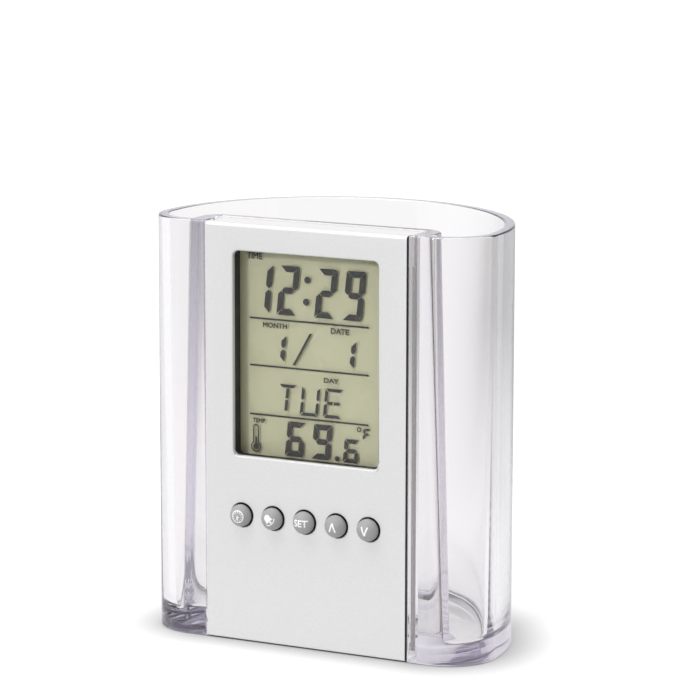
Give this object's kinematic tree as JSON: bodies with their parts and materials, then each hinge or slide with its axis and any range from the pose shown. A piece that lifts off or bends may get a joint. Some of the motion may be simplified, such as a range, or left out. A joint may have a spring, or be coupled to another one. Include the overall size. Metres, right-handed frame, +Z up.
{
  "type": "pen holder clock",
  "caption": "Clear D-shaped pen cup with a slide-in digital clock in its flat front: tall display, domed push buttons, coin-cell door at the back.",
  "frame": {"origin": "centre of the bounding box in plan, on the table surface under the cup", "axes": "+Z up, -Y out of the flat front with the display, +X to the right seen from the front"},
  "size_m": [0.096, 0.0638, 0.11],
  "materials": {
    "clear_acrylic": "clear, polished",
    "silver_paint": "satin silver",
    "case_grey": "fine matt",
    "black_plastic": "matt",
    "display_glass": "clear, polished",
    "display_dark": "matt",
    "display_olive": "satin",
    "pink_rubber": "matt",
    "board_green": "satin",
    "component_tan": "matt",
    "steel": "bright",
    "brass": "bright",
    "ceramic_white": "matt",
    "lead_red": "satin",
    "silicone_grey": "matt",
    "button_grey": "satin"
  },
  "bodies": {
    "cup": {"cup": "clear_acrylic"},
    "clock": {"front_case": "silver_paint", "rear_cover": "case_grey", "lcd_frame": "black_plastic", "lcd_polariser": "display_glass", "lcd_front_glass": "display_glass", "lcd_segments": "display_dark", "lcd_rear_glass": "display_glass", "lcd_reflector": "display_olive", "zebra_strips": "pink_rubber", "circuit_board": "board_green", "chip_blob": "black_plastic", "board_parts": "component_tan", "quartz_crystal": "steel", "thermistor": "black_plastic", "buzzer_plate": "brass", "buzzer_ceramic": "ceramic_white", "buzzer_leads": "lead_red", "keypad_sheet": "silicone_grey", "battery_cell": "steel", "contact_positive": "brass", "contact_negative": "brass", "board_screws": "steel", "case_screws": "steel", "dome_clock": "silicone_grey", "dome_alarm": "silicone_grey", "dome_set": "silicone_grey", "dome_up": "silicone_grey", "dome_down": "silicone_grey"},
    "button_clock": {"button_clock": "button_grey"},
    "button_alarm": {"button_alarm": "button_grey"},
    "button_set": {"button_set": "button_grey"},
    "button_up": {"button_up": "button_grey"},
    "button_down": {"button_down": "button_grey"},
    "battery_door": {"battery_door": "case_grey"}
  },
  "joints": [
    {"name": "clock_lift", "type": "slide", "parent": "cup", "child": "clock", "axis": [0, 0, 1], "range_m": [0, 0.112]},
    {"name": "press_clock", "type": "slide", "parent": "clock", "child": "button_clock", "axis": [0, 1, 0], "range_m": [0, 0.0008], "stiffness_N_per_m": 1200, "deforming": ["dome_clock"]},
    {"name": "press_alarm", "type": "slide", "parent": "clock", "child": "button_alarm", "axis": [0, 1, 0], "range_m": [0, 0.0008], "stiffness_N_per_m": 1200, "deforming": ["dome_alarm"]},
    {"name": "press_set", "type": "slide", "parent": "clock", "child": "button_set", "axis": [0, 1, 0], "range_m": [0, 0.0008], "stiffness_N_per_m": 1200, "deforming": ["dome_set"]},
    {"name": "press_up", "type": "slide", "parent": "clock", "child": "button_up", "axis": [0, 1, 0], "range_m": [0, 0.0008], "stiffness_N_per_m": 1200, "deforming": ["dome_up"]},
    {"name": "press_down", "type": "slide", "parent": "clock", "child": "button_down", "axis": [0, 1, 0], "range_m": [0, 0.0008], "stiffness_N_per_m": 1200, "deforming": ["dome_down"]},
    {"name": "battery_door_turn", "type": "hinge", "parent": "clock", "child": "battery_door", "pos_m": [0.013, -0.0201, 0.016], "axis": [0, 1, 0], "range_deg": [0, 45]}
  ]
}
